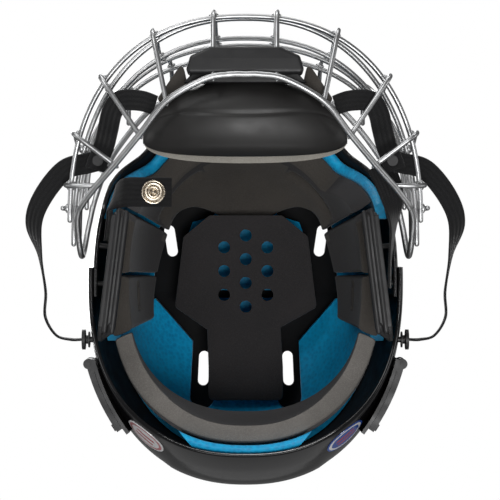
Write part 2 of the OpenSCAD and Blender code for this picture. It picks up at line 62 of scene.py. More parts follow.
# The hinge bar's middle in the design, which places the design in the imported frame
BAR_MIDDLE = np.array([0.0, -113.0, 180.0])
bar_low, bar_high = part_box("hinge_bar")
SHIFT = (np.array(bar_low) + np.array(bar_high)) / 2 / MM - BAR_MIDDLE

# ---------- driving dimensions, in millimetres ----------
HALF_W, FRONT_B, REAR_B = 107.5, 134.0, 140.0
CROWN_Z, BROW_Z, EAR_Z, NAPE_Z = 252.0, 168.0, 82.0, 62.0
DOME_Y, MID_Z, PLAN_N, DOME_N = 22.0, 120.0, 2.25, 2.3
SHELL_T, LINER_T, FRONT_LINER_T = 3.0, 10.5, 6.5
PAD_T, NAPE_PAD_T = 14.5, 9.5
SPLIT_Y, REAR_GAP, LAYER_GAP = 32.0, 0.5, 0.9
PAD_OFF = SHELL_T + FRONT_LINER_T + 2 * LAYER_GAP
WIRE_D, RIM_D = 3.4, 4.2


# ---------- maths ----------
def ease(a, b, v):
    s = np.clip((v - a) / (b - a), 0, 1)
    return s * s * (3 - 2 * s)


def lerp(a, b, s):
    return a + (b - a) * s


def unit(v):
    v = np.asarray(v, float)
    return v / np.maximum(np.linalg.norm(v, axis=-1, keepdims=True), 1e-9)


def smooth_path(points, k):
    """A smooth curve through the points, with k steps between two of them."""
    p = np.asarray(points, float)
    n = len(p) - 1
    out = []
    for i in range(n):
        a, b, c, d = p[max(0, i - 1)], p[i], p[i + 1], p[min(n, i + 2)]
        for s in np.arange(k) / k:
            out.append(0.5 * (2 * b + (c - a) * s + (2 * a - 5 * b + 4 * c - d) * s * s
                              + (3 * b - a - 3 * c + d) * s ** 3))
    out.append(p[n])
    return np.array(out)


def tangents(path):
    ahead = np.vstack([path[1:], path[-1:]])
    behind = np.vstack([path[:1], path[:-1]])
    return unit(ahead - behind)


def edge_shares(length, radius, steps):
    """Shares of a length from 0 to 1, close together within radius of either end."""
    near = np.array([0, 0.06, 0.2, 0.42, 0.7]) * radius / length
    return np.concatenate([near, np.linspace(radius / length, 1 - radius / length, steps), 1 - near[::-1]])


# ---------- the dome that the shells, liners and pads follow ----------
def front_angle(t):
    return np.abs((t + 270) % 360 - 180)


def edge_z(t):
    front = (BROW_Z - EAR_Z) * ease(38, 66, front_angle(t))
    back = (EAR_Z - NAPE_Z) * ease(104, 152, front_angle(t))
    return BROW_Z - front - back


def dome(t, z, off):
    c, s = np.cos(np.radians(t)), np.sin(np.radians(t))
    end = np.where(s < 0, FRONT_B, REAR_B)
    plan = ((np.abs(c) / (HALF_W - off)) ** PLAN_N + (np.abs(s) / (end - off)) ** PLAN_N) ** (-1 / PLAN_N)
    high = np.clip((z - MID_Z) / (CROWN_Z - off - MID_Z), 0, 1)
    low = np.maximum(MID_Z - z, 0) / 55
    taper = 0.05 + 0.115 * np.maximum(0, s) ** 3
    scale = np.where(z >= MID_Z, (1 - high ** DOME_N) ** (1 / DOME_N), 1 - taper * low ** 1.6)
    r = plan * scale
    return np.stack([r * c, DOME_Y + r * s, z + 0 * r], axis=-1)


# ---------- meshes ----------
def add_mesh(name, points, faces, sharp=None):
    """A closed mesh, with its faces turned outwards and smooth up to the sharp angle."""
    mesh = bpy.data.meshes.new(name)
    mesh.from_pydata(((np.asarray(points, float).reshape(-1, 3) + SHIFT) * MM).tolist(), [], faces)
    form = bmesh.new()
    form.from_mesh(mesh)
    bmesh.ops.recalc_face_normals(form, faces=form.faces)
    form.to_mesh(mesh)
    form.free()
    mesh.shade_smooth()
    if sharp:
        mesh.set_sharp_from_angle(angle=math.radians(sharp))
    obj = bpy.data.objects.new(name, mesh)
    scene.collection.objects.link(obj)
    return obj


def add_float(obj, name, values):
    """A named number on each vertex, which the materials read."""
    made = obj.data.attributes.new(name, "FLOAT", "POINT")
    made.data.foreach_set("value", np.asarray(values, np.float32).ravel())


def grid_faces(rows, cols, wrap=False, start=0):
    quads = []
    for j in range(rows - 1):
        for i in range(cols if wrap else cols - 1):
            a, b = start + j * cols + i, start + j * cols + (i + 1) % cols
            quads.append((a, b, b + cols, a + cols))
    return quads


def skin(rings):
    """Points and faces of a closed tube through rings of points."""
    rings = np.asarray(rings, float)
    m, n = rings.shape[:2]
    faces = grid_faces(m, n, wrap=True)
    faces.append(tuple(range(n)))
    faces.append(tuple((m - 1) * n + i for i in range(n - 1, -1, -1)))
    return rings.reshape(-1, 3), faces


def joined(parts):
    """Several (points, faces) as one."""
    points, faces, count = [], [], 0
    for p, f in parts:
        p = np.asarray(p, float).reshape(-1, 3)
        points.append(p)
        faces += [tuple(count + i for i in face) for face in f]
        count += len(p)
    return np.vstack(points), faces


def border_distance(grid):
    """How far each point of a grid is from the grid's nearest border."""
    def from_ends(g):
        steps = np.linalg.norm(np.diff(g, axis=0), axis=-1)
        along = np.concatenate([np.zeros((1,) + steps.shape[1:]), np.cumsum(steps, axis=0)])
        return np.minimum(along, along[-1] - along)
    return np.minimum(from_ends(grid), from_ends(grid.swapaxes(0, 1)).swapaxes(0, 1))


def pillow(outer, inner, radius, crisp=2.0):
    """A closed slab between two grids, whose border is rounded over a radius."""
    middle = (outer + inner) / 2
    s = np.clip(border_distance(middle) / radius, 0, 1)
    full = ((1 - (1 - s) ** crisp) ** (1 / crisp))[..., None]
    rows, cols = middle.shape[:2]
    front, back = middle + (outer - middle) * full, middle + (inner - middle) * full
    index = np.arange(rows * cols).reshape(rows, cols)
    ring = np.concatenate([index[0, :-1], index[:-1, -1], index[-1, :0:-1], index[:0:-1, 0]])
    same = dict(zip((ring + rows * cols).tolist(), ring.tolist()))
    faces = grid_faces(rows, cols)
    for face in grid_faces(rows, cols, start=rows * cols):
        faces.append(tuple(same.get(i, i) for i in face[::-1]))
    points = np.concatenate([front.reshape(-1, 3), back.reshape(-1, 3)])
    used = np.setdiff1d(np.arange(len(points)), ring + rows * cols)
    renumber = np.zeros(len(points), int)
    renumber[used] = np.arange(len(used))
    return points[used], [tuple(renumber[list(f)]) for f in faces]


def round_tube(path, radius, sides=14):
    """A round wire along a path, with rounded ends."""
    path = np.asarray(path, float)
    along = tangents(path)
    side = unit(np.cross(along[0], [0.3, 0.5, 0.81]))
    angles = np.radians(np.arange(sides) * 360 / sides)[:, None]
    rings = []
    for i, (p, t) in enumerate(zip(path, along)):
        side = unit(side - t * (side @ t))
        up = np.cross(t, side)
        around = np.cos(angles) * side + np.sin(angles) * up
        steps = [(0, 1)]
        if i == 0:
            steps = [(-1, 0.15), (-0.85, 0.53), (-0.5, 0.87), (0, 1)]
        if i == len(path) - 1:
            steps = [(0, 1), (0.5, 0.87), (0.85, 0.53), (1, 0.15)]
        rings += [p + radius * (t * ahead + around * wide) for ahead, wide in steps]
    return skin(rings)


def bead(middle, axis, length, width):
    """An egg-shaped bead of weld along an axis."""
    s = np.linspace(-0.97, 0.97, 7)
    axis = unit(axis)
    side = unit(np.cross(axis, [0.31, 0.52, 0.79]))
    up = np.cross(axis, side)
    a = np.radians(np.arange(10) * 36)[:, None]
    return skin([middle + axis * length / 2 * x + width / 2 * math.sqrt(1 - x * x)
                 * (np.cos(a) * side + np.sin(a) * up) for x in s])


def lathe(profile, place, sides=64):
    """A turned part: profile of (radius, height), closed, on place's z axis."""
    a = np.radians(np.arange(sides) * 360 / sides)
    rings = []
    for r, h in profile:
        ring = np.stack([r * np.cos(a), r * np.sin(a), np.full(sides, h)], axis=-1)
        rings.append(ring @ place[:3, :3].T + place[:3, 3])
    return skin(rings)


def on_side(made, side):
    """The same points and faces on the left, with side 1, or mirrored to the right, with side -1."""
    points, faces = made
    return np.asarray(points) * [side, 1, 1], faces


def apply_modifiers(obj):
    graph = bpy.context.evaluated_depsgraph_get()
    mesh = bpy.data.meshes.new_from_object(obj.evaluated_get(graph))
    obj.modifiers.clear()
    obj.data = mesh
    return obj


def cut(obj, cutters, sharp=30):
    """Takes closed meshes away from a piece."""
    for number, made in enumerate(cutters):
        cutter = add_mesh(f"cutter_{number}", *made)
        step = obj.modifiers.new("cut", "BOOLEAN")
        step.operation = "DIFFERENCE"
        step.solver = "MANIFOLD"
        step.object = cutter
        apply_modifiers(obj)
        bpy.data.objects.remove(cutter)
    obj.data.shade_smooth()
    obj.data.set_sharp_from_angle(angle=math.radians(sharp))
    return obj


def block(low, high):
    x, y, z = zip(low, high)
    points = [(x[i], y[j], z[k]) for k in (0, 1) for j in (0, 1) for i in (0, 1)]
    faces = [(0, 1, 3, 2), (4, 6, 7, 5), (0, 4, 5, 1), (2, 3, 7, 6), (0, 2, 6, 4), (1, 5, 7, 3)]
    return points, faces


def capsule_outline(length, width, steps=10):
    a = np.radians(np.linspace(0, 180, steps + 1))
    top = np.stack([width / 2 * np.cos(a), (length - width) / 2 + width / 2 * np.sin(a)], axis=-1)
    return np.vstack([top, -top])


def prism(outline, low, high):
    """An upright prism over an outline in x and y."""
    flat = np.asarray(outline, float)
    return skin([np.column_stack([flat, np.full(len(flat), z)]) for z in (low, high)])


# ---------- materials ----------
class Look:
    """A material under construction: each method adds one node and gives its output."""

    def __init__(self, name, **sockets):
        self.material = bpy.data.materials.new(name)
        self.material.use_nodes = True
        self.tree = self.material.node_tree
        self.shader = self.tree.nodes["Principled BSDF"]
        for socket, value in sockets.items():
            self.set(socket.replace("_", " "), value)

    def set(self, socket, value):
        target = self.shader.inputs[socket]
        if isinstance(value, bpy.types.NodeSocket):
            self.tree.links.new(value, target)
        else:
            target.default_value = value

    def node(self, kind, inputs=None, **settings):
        made = self.tree.nodes.new(kind)
        for key, value in settings.items():
            setattr(made, key, value)
        for key, value in (inputs or {}).items():
            if isinstance(value, bpy.types.NodeSocket):
                self.tree.links.new(value, made.inputs[key])
            else:
                made.inputs[key].default_value = value
        return made

    def texture(self, kind, **inputs):
        inputs["Vector"] = self.node("ShaderNodeTexCoord").outputs["Object"]
        return self.node(kind, inputs).outputs

    def noise(self, scale, detail=3.0, roughness=0.5):
        return self.texture("ShaderNodeTexNoise", Scale=scale, Detail=detail, Roughness=roughness)["Fac"]

    def cells(self, scale):
        return self.texture("ShaderNodeTexVoronoi", Scale=scale)["Distance"]

    def number(self, name):
        return self.node("ShaderNodeAttribute", attribute_name=name).outputs["Fac"]

    def math(self, operation, *values):
        return self.node("ShaderNodeMath", dict(enumerate(values)), operation=operation).outputs[0]

    def weighed(self, a, share_a, b, share_b):
        return self.math("ADD", self.math("MULTIPLY", a, share_a), self.math("MULTIPLY", b, share_b))

    def over(self, share, under, colour):
        """A plain colour laid over another by a share."""
        inputs = {"Factor": share, 6: under, 7: (*colour, 1)}
        return self.node("ShaderNodeMix", inputs, data_type="RGBA").outputs[2]

    def range(self, value, low, high, start=0.0, end=1.0):
        made = self.node("ShaderNodeMapRange", {"Value": value, "From Min": start, "From Max": end,
                                                "To Min": low, "To Max": high})
        return made.outputs[0]

    def ramp(self, value, *stops):
        made = self.node("ShaderNodeValToRGB", {"Fac": value})
        steps = made.color_ramp.elements
        while len(steps) < len(stops):
            steps.new(0.5)
        for step, (where, colour) in zip(steps, stops):
            step.position = where
            step.color = (*colour, 1.0)
        return made.outputs["Color"]

    def tones(self, value, dark, light):
        self.set("Base Color", self.ramp(value, (0.3, dark), (0.7, light)))

    def rough(self, value, low, high, start=0.3, end=0.7):
        self.set("Roughness", self.range(value, low, high, start, end))

    def bump(self, height, depth, strength=1.0, under=None):
        inputs = {"Height": height, "Distance": depth, "Strength": strength}
        if under is not None:
            inputs["Normal"] = under
        made = self.node("ShaderNodeBump", inputs)
        self.set("Normal", made.outputs["Normal"])
        return made.outputs["Normal"]


def shell_look():
    """Glossy black plastic with a faint orange peel and a few fine scuffs."""
    look = Look("shell_plastic", Specular_IOR_Level=0.4, Coat_Weight=0.3, Coat_Roughness=0.06)
    look.tones(look.noise(18, 5), (0.004, 0.004, 0.0045), (0.007, 0.007, 0.008))
    scuffs = look.noise(260, 6, roughness=0.75)
    look.rough(scuffs, 0.1, 0.24, 0.35, 0.75)
    under = look.bump(look.noise(420, 2), 0.00012, 0.35)
    look.bump(scuffs, 0.00005, 0.3, under)
    return look.material


def satin_look(name, specular, tone, dark, light, mottle, rough):
    """A dull black plastic: tone and mottle are the scales of its patches of colour and roughness."""
    look = Look(name, Specular_IOR_Level=specular)
    look.tones(look.noise(tone, 4), dark, light)
    look.rough(look.noise(mottle, 5), *rough)
    return look


def shell_inside_look():
    """The dull inner skin of the shells."""
    dark, light = (0.005, 0.005, 0.0055), (0.010, 0.010, 0.011)
    look = satin_look("shell_inner_skin", 0.25, 30, dark, light, 90, (0.55, 0.75))
    look.bump(look.noise(700, 3), 0.0001, 0.4)
    return look.material


def trim_look():
    """Satin black moulded nylon with a fine grain."""
    look = satin_look("moulded_trim", 0.5, 40, (0.010, 0.010, 0.011), (0.017, 0.017, 0.018), 90, (0.4, 0.56))
    look.bump(look.cells(1700), 0.00006, 0.35)
    return look.material


def cup_look():
    """Soft satin rubber skin of the chin cup."""
    look = satin_look("cup_rubber", 0.5, 25, (0.012, 0.0115, 0.011), (0.018, 0.017, 0.0165), 70, (0.4, 0.52))
    look.bump(look.noise(900, 3), 0.00006, 0.3)
    return look.material


def liner_look():
    """Blue expanded foam, moulded from small beads."""
    look = Look("blue_bead_foam", Specular_IOR_Level=0.35, Sheen_Weight=0.15, Sheen_Roughness=0.5)
    beads = look.cells(330)
    tone = look.weighed(beads, 0.55, look.noise(30, 4), 0.5)
    look.set("Base Color", look.ramp(tone, (0.2, (0.0, 0.25, 0.54)), (0.55, (0.0, 0.37, 0.70)),
                                     (0.85, (0.0, 0.46, 0.82))))
    look.rough(beads, 0.42, 0.62, 0, 1)
    under = look.bump(beads, 0.0005, 0.5)
    look.bump(look.noise(1500, 3), 0.00015, 0.3, under)
    return look.material


def foam_look(name, dark, light, depth):
    """Fine open-cell comfort foam."""
    look = Look(name, Specular_IOR_Level=0.2, Sheen_Weight=0.12, Sheen_Roughness=0.6)
    pores = look.cells(1500)
    clouds = look.noise(35, 5)
    tone = look.weighed(pores, 0.5, clouds, 0.6)
    look.set("Base Color", look.ramp(tone, (0.25, dark), (0.75, light)))
    look.rough(clouds, 0.78, 0.95)
    under = look.bump(pores, depth, 0.6)
    look.bump(look.noise(120, 4), 0.0004, 0.25, under)
    return look.material


def wire_look():
    """Polished stainless wire with faint drawing lines."""
    look = Look("drawn_wire", Metallic=1.0)
    look.tones(look.noise(60, 5), (0.47, 0.475, 0.48), (0.58, 0.585, 0.59))
    fine = look.noise(1300, 4, roughness=0.7)
    look.rough(fine, 0.32, 0.46)
    look.bump(fine, 0.00004, 0.4)
    return look.material


def steel_look():
    """Nickel-plated hardware with a warm tint."""
    look = Look("plated_steel", Metallic=1.0)
    look.tones(look.noise(150, 4), (0.46, 0.40, 0.32), (0.62, 0.55, 0.45))
    look.rough(look.noise(900, 4), 0.2, 0.34)
    look.bump(look.noise(500, 3), 0.00001, 0.1)
    return look.material


def webbing_look(name, pitch, ribs, dark, light):
    """Woven tape: slanted yarns in columns across, from the distances that the piece carries."""
    look = Look(name, Specular_IOR_Level=0.3, Sheen_Weight=0.25, Sheen_Roughness=0.4)
    across, along = look.number("across"), look.number("along")
    column = look.math("PINGPONG", across, ribs)
    slant = look.math("ADD", along, look.math("MULTIPLY", column, 0.9))
    yarn = look.math("SINE", look.math("MULTIPLY", slant, 2 * math.pi / pitch))
    rib = look.math("COSINE", look.math("MULTIPLY", across, math.pi / ribs))
    height = look.weighed(yarn, 0.5, rib, 0.5)
    fuzz = look.noise(1400, 4)
    tone = look.math("ADD", look.range(height, 0.0, 0.7, -1.0, 1.0), look.math("MULTIPLY", fuzz, 0.3))
    look.set("Base Color", look.ramp(tone, (0.15, dark), (0.85, light)))
    look.rough(fuzz, 0.6, 0.85)
    under = look.bump(height, 0.00022, 0.8)
    look.bump(fuzz, 0.0001, 0.3, under)
    return look.material


def decal_look(name, ground, rim, bar):
    """A printed oval: a plain rim and two short plain bars on an even ground."""
    look = Look(name, Specular_IOR_Level=0.5, Coat_Weight=0.4, Coat_Roughness=0.1)
    u, v = look.number("across"), look.number("along")
    out = look.math("SQRT", look.math("ADD", look.math("MULTIPLY", u, u), look.math("MULTIPLY", v, v)))
    light, dark = ground
    base = look.ramp(look.noise(500, 4), (0.3, dark), (0.7, light))
    edge = look.math("COMPARE", out, 0.84, 0.07)
    bars = look.math("COMPARE", look.math("ABSOLUTE", v), 0.24, 0.1)
    stripe = look.math("MULTIPLY", bars, look.math("LESS_THAN", out, 0.55))
    look.set("Base Color", look.over(stripe, look.over(edge, base, rim), bar))
    look.rough(look.noise(300, 4), 0.25, 0.4)
    look.bump(look.noise(900, 3), 0.00004, 0.3)
    return look.material


SHELL = shell_look()
SHELL_INSIDE = shell_inside_look()
TRIM = trim_look()
CUP = cup_look()
LINER = liner_look()
PAD = foam_look("pad_foam_skin", (0.016, 0.015, 0.016), (0.034, 0.031, 0.032), 0.00022)
# The pads' downward faces: cut foam, painted lighter than the pad as if lit from below
PAD_UNDERSIDE_CUT_AND_PAINTED_LIGHT = foam_look("pad_cut_foam_painted_light", (0.036, 0.032, 0.028), (0.066, 0.059, 0.052), 0.00035)
# The nape pad's downward faces: cut foam, painted much lighter still for the light from below
NAPE_UNDERSIDE_CUT_AND_PAINTED_LIGHT = foam_look("nape_cut_foam_painted_light", (0.10, 0.094, 0.086), (0.19, 0.178, 0.165), 0.00035)
LINING = foam_look("chin_lining_felt", (0.26, 0.245, 0.215), (0.38, 0.36, 0.32), 0.0002)
WIRE = wire_look()
STEEL = steel_look()
TAPE = webbing_look("black_tape", 0.0011, 0.0016, (0.003, 0.003, 0.0035), (0.009, 0.009, 0.010))
WIDE_TAPE = webbing_look("ribbed_tape", 0.0016, 0.0012, (0.003, 0.003, 0.0035), (0.012, 0.012, 0.013))


def dress(obj, body, slot, *materials, replaces=()):
    """Gives a piece its materials, its body and the CAD nodes that it stands for. The slot is not used."""
    obj.data.materials.clear()
    for material in materials:
        obj.data.materials.append(material)
    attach(obj, body)
    if replaces:
        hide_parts(*replaces)
    return obj


# ---------- camera, light and floor ----------
def design_point(x, y, z):
    return Vector(((np.array([x, y, z]) + SHIFT) * MM).tolist())


def add_camera():
    data = bpy.data.cameras.new("camera")
    camera = bpy.data.objects.new("camera", data)
    scene.collection.objects.link(camera)
    data.sensor_width = 36
    data.lens = 134.2
    data.clip_start, data.clip_end = 0.05, 20
    eye, target = design_point(3.2, 0, -1200), design_point(3.2, 0, 122)
    back = (eye - target).normalized()
    up = Vector((0, -1, 0))
    right = up.cross(back).normalized()
    up = back.cross(right)
    turn = Matrix((right, up, back)).transposed().to_4x4()
    camera.matrix_world = Matrix.Translation(eye) @ turn
    scene.camera = camera


def add_softbox(name, place, size, watts):
    data = bpy.data.lights.new(name, "AREA")
    data.shape = "RECTANGLE"
    data.size, data.size_y = size
    data.energy = watts
    lamp = bpy.data.objects.new(name, data)
    scene.collection.objects.link(lamp)
    lamp.location = place
    lamp.rotation_euler = (Vector(LIGHT_AIM) - Vector(place)).to_track_quat("-Z", "Y").to_euler()
    lamp.visible_camera = False


# Soft lights round the helmet: name, place, size in metres, power in watts
LIGHTS = [("camera_box", (0.15, 0.35, -1.5), (0.5, 0.5), 13),
          ("front_box_below", (-0.6, -1.0, -0.9), (0.7, 0.7), 6),
          ("back_box_below", (0.1, 1.3, -0.6), (0.9, 0.16), 2.2),
          ("back_box_above", (0.0, 1.2, 0.75), (1.3, 0.7), 0.6),
          ("left_strip", (-1.3, 0.0, -0.2), (0.25, 1.2), 2),
          ("right_strip", (1.3, 0.0, -0.2), (0.25, 1.2), 2),
          ("brow_strip", (0.0, -1.4, 0.2), (1.2, 0.3), 6),
          ("top_box", (-0.4, -0.5, 1.5), (1.1, 1.1), 18)]
LIGHT_AIM = (0, 0, 0.1)


def add_lights():
    for name, place, size, watts in LIGHTS:
        add_softbox(name, place, size, watts)


def add_world():
    world = bpy.data.worlds.new("studio")
    scene.world = world
    world.use_nodes = True
    nodes, links = world.node_tree.nodes, world.node_tree.links
    nodes.clear()
    seen, lit = nodes.new("ShaderNodeBackground"), nodes.new("ShaderNodeBackground")
    for shade, strength in ((seen, 1.0), (lit, 0.14)):
        shade.inputs["Color"].default_value = (1, 1, 1, 1)
        shade.inputs["Strength"].default_value = strength
    path, mix = nodes.new("ShaderNodeLightPath"), nodes.new("ShaderNodeMixShader")
    out = nodes.new("ShaderNodeOutputWorld")
    links.new(path.outputs["Is Camera Ray"], mix.inputs[0])
    links.new(lit.outputs[0], mix.inputs[1])
    links.new(seen.outputs[0], mix.inputs[2])
    links.new(mix.outputs[0], out.inputs["Surface"])


def add_floor():
    """A pale floor that is seen from above only, because the camera looks up from under it."""
    a = np.radians(np.arange(96) * 3.75)
    mesh = bpy.data.meshes.new("floor")
    mesh.from_pydata(np.column_stack([9 * np.cos(a), 9 * np.sin(a), 0 * a]).tolist(), [], [tuple(range(96))])
    floor = bpy.data.objects.new("floor", mesh)
    scene.collection.objects.link(floor)
    material = bpy.data.materials.new("floor_paint")
    material.use_nodes = True
    tree = material.node_tree
    paint = tree.nodes["Principled BSDF"]
    paint.inputs["Base Color"].default_value = (0.86, 0.86, 0.86, 1)
    paint.inputs["Roughness"].default_value = 0.7
    clear, mix = tree.nodes.new("ShaderNodeBsdfTransparent"), tree.nodes.new("ShaderNodeMixShader")
    side = tree.nodes.new("ShaderNodeNewGeometry")
    tree.links.new(side.outputs["Backfacing"], mix.inputs[0])
    tree.links.new(paint.outputs[0], mix.inputs[1])
    tree.links.new(clear.outputs[0], mix.inputs[2])
    tree.links.new(mix.outputs[0], tree.nodes["Material Output"].inputs["Surface"])
    mesh.materials.append(material)
    for ray in ("shadow", "diffuse", "glossy", "transmission"):
        setattr(floor, f"visible_{ray}", False)


# ---------- shells and liners ----------
# Vents, one of each pair: middle x, middle y, length, width, turn
FRONT_VENTS = [(57.5, -7, 24, 8, 8), (22, -62, 30, 7, -6), (80, -22, 26, 6, 8), (28, 2, 22, 6, 4)]
REAR_VENTS = [(32.5, 91, 26, 8, -2), (66, 66, 26, 6, -14), (22, 128, 18, 6, -4), (80, 62, 20, 5, -8)]

# Air channels that part the liner over the crown: middle x, middle y, radius
CHANNEL = [(30, -33, 8), (48, -29, 9.5), (57, -10, 11), (58, 31, 12), (32, 67, 8.5), (33, 111.3, 9.2)]


# Blocks that bare the shell's inside beside the ears, and the outline that bares it beside the nape
EAR_GAP_FRONT, FLANK_GAP_FRONT = [(88, -60, 40), (108, 40, 102)], [(89, -22, 41), (112, 41, 158)]
FLANK_GAP_REAR = [(88, 20, 40), (112, 67, 158)]
NAPE_GAP = [(56, 66), (112, 66), (112, 170), (33, 170), (33, 138), (56, 110)]


def channel_cutters():
    made = []
    for start, end in zip(CHANNEL, CHANNEL[1:]):
        run = convex_outline(np.vstack([circle(start[:2], start[2]), circle(end[:2], end[2])]))
        made.append(joined([prism(run * [side, 1], 150, 260) for side in (1, -1)]))
    return made


def vent_cutters(vents):
    made = []
    for x, y, length, width, turn in vents:
        flat = capsule_outline(length, width)
        a = math.radians(turn)
        turned = flat @ np.array([[math.cos(a), math.sin(a)], [-math.sin(a), math.cos(a)]])
        for side in (1, -1):
            made.append(prism((turned + [x, y]) * [side, 1], 100, 300))
    return joined(made)


def dome_wall(outer, inner, lift, relief=None, cols=232, rows=60):
    """A whole dome with a rounded lip. Relief gives how far the outside stands proud at (t, z)."""
    t = np.arange(cols) * 360 / cols
    half = (inner - outer) / 2
    low = edge_z(t) + lift + half
    rise = 1 - (1 - np.arange(rows) / rows) ** 2.2
    rings = [dome(t, lerp(low, CROWN_Z - inner, s), inner) for s in rise[::-1]]
    for a in np.radians(np.linspace(160, 20, 8)):
        rings.append(dome(t, low - half * math.sin(a), outer + half - half * math.cos(a)))
    for s in rise:
        z = lerp(low, CROWN_Z - outer, s)
        proud = relief(t, z) * ease(0, 0.04, s) if relief else 0
        rings.append(dome(t, z, outer - proud))
    tops = np.array([[0, DOME_Y, CROWN_Z - inner], [0, DOME_Y, CROWN_Z - outer]])
    points = np.vstack([np.concatenate(rings), tops])
    count = len(rings) * cols
    faces = grid_faces(len(rings), cols, wrap=True)
    for i in range(cols):
        j = (i + 1) % cols
        faces.append((j, i, count))
        faces.append((count - cols + i, count - cols + j, count + 1))
    return points, faces


def front_relief(t, z):
    """A raised middle panel and a raised brow line on the front shell."""
    from_front = front_angle(t)
    spine = 1 - ease(12, 15, from_front + 0.12 * (z - 200))
    temple = ease(52, 55, from_front) * (1 - ease(78, 81, from_front)) * ease(120, 124, z)
    brow = ease(176, 179, z) * (1 - ease(196, 199, z)) * ease(26, 29, from_front)
    return 0.9 * np.clip(spine + temple, 0, 1) + 0.7 * brow


def rear_relief(t, z):
    """Steps along the back of the neck and a raised panel at the back of the head."""
    from_back = np.abs((t - 90 + 180) % 360 - 180)
    middle = 1 - ease(21, 25, from_back)
    steps = 0.5 * ease(74, 76, z) + 0.6 * ease(92, 94, z) - 0.5 * ease(112, 115, z)
    panel = ease(138, 142, z) * (1 - ease(33, 37, from_back + 0.1 * (z - 140)))
    return middle * steps + 0.8 * panel


def paint_inside(shell):
    """The faces that look into the head's space get the shell's inner skin."""
    middle = design_point(0, DOME_Y, MID_Z)
    for face in shell.data.polygons:
        if face.normal.dot((face.center - middle).normalized()) < -0.35:
            face.material_index = 1


def add_shells():
    front = add_mesh("front_shell_moulded", *dome_wall(0, SHELL_T, 0, front_relief))
    cut(front, [block((-150, SPLIT_Y, 0), (150, 300, 300)), vent_cutters(FRONT_VENTS)])
    dress(front, "helmet", "shell", SHELL, SHELL_INSIDE, replaces=["front_shell"])
    paint_inside(front)
    rear = add_mesh("rear_shell_moulded", *dome_wall(-REAR_GAP - SHELL_T, -REAR_GAP, 0, rear_relief))
    cut(rear, [block((-150, -200, 0), (150, 12, 300)), vent_cutters(REAR_VENTS)])
    dress(rear, "rear_section", "shell", SHELL, SHELL_INSIDE, replaces=["rear_shell"])
    paint_inside(rear)


def side_blocks(low, high):
    """Two blocks, one on each side."""
    return joined(both([block(low, high)]))


def add_liners():
    off = SHELL_T + LAYER_GAP
    front = add_mesh("front_liner_foam", *dome_wall(off, off + FRONT_LINER_T, 9))
    cutters = [block((-150, SPLIT_Y - 1, 0), (150, 300, 300)), side_blocks(*EAR_GAP_FRONT),
               side_blocks(*FLANK_GAP_FRONT)]
    cut(front, cutters + channel_cutters(), 40)
    dress(front, "helmet", "liner_foam", LINER, replaces=["front_liner"])
    rear = add_mesh("rear_liner_foam", *dome_wall(0.6, LINER_T, 4))
    cutters = [block((-150, -200, 0), (150, SPLIT_Y + 5, 300)), side_blocks(*FLANK_GAP_REAR),
               joined(both([prism(NAPE_GAP, 40, 180)]))]
    cut(rear, cutters + channel_cutters(), 40)
    dress(rear, "rear_section", "liner_foam", LINER, replaces=["rear_liner"])


# ---------- pads ----------
# Lowest and highest place of the pads round the head, and how far their edges are rounded
PAD_LOW, PAD_HIGH, PAD_ROUND = 96, 220, 3


def pad_top(t):
    """The upper edge of the pads, which falls from the brow to the sides."""
    return 220 - 22 * ease(15, 52, front_angle(t)) - 14 * ease(55, 125, front_angle(t))


def dome_pad(span, cells, groove=None):
    """A foam pad that follows the dome between two directions. Its inside may have a groove."""
    t = lerp(*span, edge_shares((span[1] - span[0]) * 1.6, PAD_ROUND, cells[0]))[None, :]
    share = edge_shares(PAD_HIGH - PAD_LOW, PAD_ROUND, cells[1])[:, None]
    z = lerp(np.maximum(PAD_LOW, edge_z(t) + 10), np.minimum(PAD_HIGH, pad_top(t)), share)
    t = t + 0 * z
    depth = groove(t, z) if groove else 0
    return pillow(dome(t, z, PAD_OFF), dome(t, z, PAD_OFF + PAD_T - depth), PAD_ROUND, 3)


def nape_pad():
    """The pad at the back of the head, which is thickest and leans most in the middle."""
    t = lerp(24, 156, edge_shares(211, 2.5, 110))[None, :]
    share = edge_shares(40, 2.5, 16)[:, None]
    z = lerp(np.maximum(72, edge_z(t) + 10), 112, share)
    t = t + 0 * z
    back = np.maximum(0, np.sin(np.radians(t))) ** 4
    outside = LINER_T + 1.5 + 3 * back
    return pillow(dome(t, z, outside + 10 * back * share),
                  dome(t, z, outside + NAPE_PAD_T + 3 + 21 * back * share), 2.5, 5)


def forehead_groove(t, z):
    """A fold that runs round each side of the forehead pad."""
    place = 191 - 0.19 * (front_angle(t) - 25)
    ends = ease(20, 25, front_angle(t)) * (1 - ease(53, 57, front_angle(t)))
    return 5 * np.exp(-((z - place) / 2.4) ** 2) * ends


def side_groove(t, z):
    """A short slot in the side pad."""
    along = np.abs((t - 8 + 180) % 360 - 180)
    return 4 * np.exp(-((z - 158) / 1.6) ** 4) * (1 - ease(7, 8, along))


def paint_lit_underside(obj):
    """The downward faces of a pad get the lighter underside material: cut foam, with painted light from below
    in its colour.
    """
    for face in obj.data.polygons:
        if face.normal.z < -0.55:
            face.material_index = 1


# edge is the underside material: cut foam, with painted light from below
def add_dome_pad(name, body, node, made, edge=PAD_UNDERSIDE_CUT_AND_PAINTED_LIGHT):
    pad = add_mesh(name, *made)
    dress(pad, body, "pad_foam", PAD, edge, replaces=[node])
    paint_lit_underside(pad)
    return pad


def add_dome_pads():
    add_dome_pad("forehead_pad_foam", "helmet", "forehead_pad",
                 dome_pad((212, 328), (90, 26), forehead_groove))
    for name, side in (("left", 1), ("right", -1)):
        temple = dome_pad((329.5, 356), (40, 26))
        add_dome_pad(f"temple_pad_{name}_foam", "helmet", f"temple_pad_{name}", on_side(temple, side))
        flank = dome_pad((357.5, 383), (40, 46), side_groove)
        add_dome_pad(f"side_pad_{name}_foam", "helmet", f"side_pad_{name}", on_side(flank, side))
    add_dome_pad("occipital_pad_foam", "rear_section", "occipital_pad", nape_pad(), NAPE_UNDERSIDE_CUT_AND_PAINTED_LIGHT)


